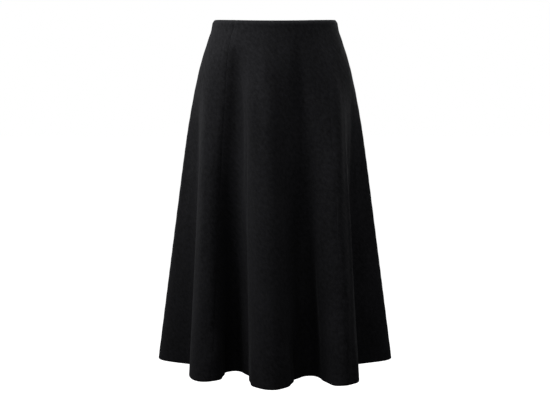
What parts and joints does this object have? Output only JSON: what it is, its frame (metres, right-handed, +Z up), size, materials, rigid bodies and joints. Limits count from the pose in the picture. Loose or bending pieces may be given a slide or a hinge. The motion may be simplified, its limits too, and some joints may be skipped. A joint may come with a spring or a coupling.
{
  "type": "flared midi skirt",
  "caption": "Flared A-line midi skirt of seven gores in black felted wool, hollow as worn, with a concealed zip at the centre back.",
  "frame": {"origin": "middle of the waist opening at the level of its highest edge, the centre back", "axes": "+Z up along the skirt's length, out of the waist; -Y is the front, +X the wearer's left"},
  "size_m": [0.486, 0.48, 0.7005],
  "materials": {
    "wool": "matt felted wool with a soft nap",
    "zip_tape": "woven polyester tape",
    "zip_metal": "black enamel"
  },
  "bodies": {
    "skirt": {"gore_front_centre": "wool", "gore_front_right": "wool", "gore_front_left": "wool", "gore_side_back_right": "wool", "gore_side_back_left": "wool", "gore_back_right": "wool", "gore_back_left": "wool", "zip_tape_right": "zip_tape", "zip_tape_left": "zip_tape", "zip_slider": "zip_metal"},
    "pull": {"zip_pull": "zip_metal"}
  },
  "joints": [
    {"name": "pull_swing", "type": "hinge", "parent": "skirt", "child": "pull", "pos_m": [0, 0.1017, -0.01731], "axis": [1, 0, 0], "range_deg": [0, 150]}
  ]
}
